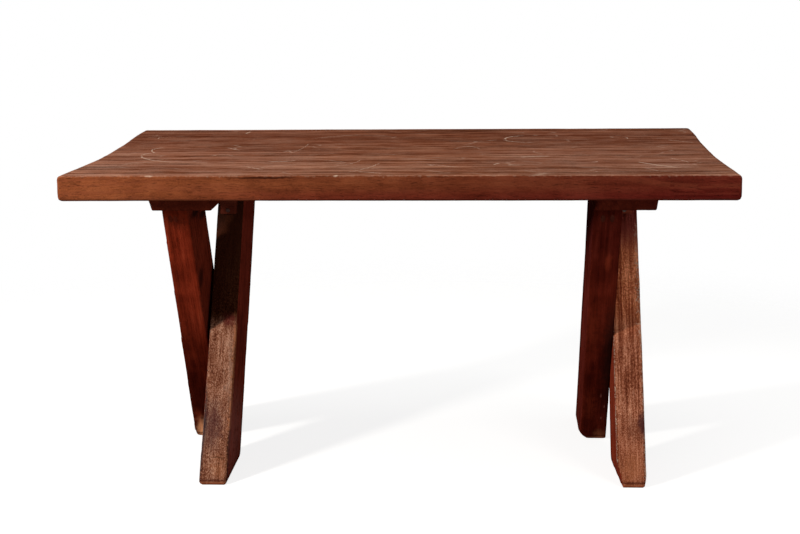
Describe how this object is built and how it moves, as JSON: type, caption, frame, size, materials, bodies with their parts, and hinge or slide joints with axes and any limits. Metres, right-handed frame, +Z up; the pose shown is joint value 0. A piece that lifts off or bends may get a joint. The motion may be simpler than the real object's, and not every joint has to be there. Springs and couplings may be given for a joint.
{
  "type": "sawbuck table",
  "caption": "Rustic sawbuck dining table: a thick dark plank top with scooped ends on battens, carried by crossed plank legs that stand side by side.",
  "frame": {"origin": "on the floor under the middle of the top", "axes": "+X along the top, -Y towards the front long edge, +Z up"},
  "size_m": [1.4978, 0.9, 0.77],
  "materials": {
    "top_wood": "worn satin varnish",
    "leg_wood": "worn satin varnish",
    "batten_wood": "satin varnish",
    "block_wood": "thinly stained",
    "plug_wood": "filled and rubbed",
    "inner_wood": "bare",
    "screw_steel": "dull zinc"
  },
  "bodies": {
    "root": {"top_board_1": "top_wood", "top_board_2": "top_wood", "top_board_3": "top_wood", "top_board_4": "top_wood", "top_board_5": "top_wood", "top_spline_1": "inner_wood", "top_spline_2": "inner_wood", "top_spline_3": "inner_wood", "top_spline_4": "inner_wood", "batten_left": "batten_wood", "leg_left_front": "leg_wood", "corner_block_left_front": "block_wood", "leg_left_back": "leg_wood", "corner_block_left_back": "block_wood", "batten_screws_left": "screw_steel", "leg_screws_left": "screw_steel", "block_screws_left": "screw_steel", "leg_plugs_left": "plug_wood", "cross_dowels_left": "inner_wood", "batten_right": "batten_wood", "leg_right_front": "leg_wood", "corner_block_right_front": "block_wood", "leg_right_back": "leg_wood", "corner_block_right_back": "block_wood", "batten_screws_right": "screw_steel", "leg_screws_right": "screw_steel", "block_screws_right": "screw_steel", "leg_plugs_right": "plug_wood", "cross_dowels_right": "inner_wood"}
  },
  "joints": []
}
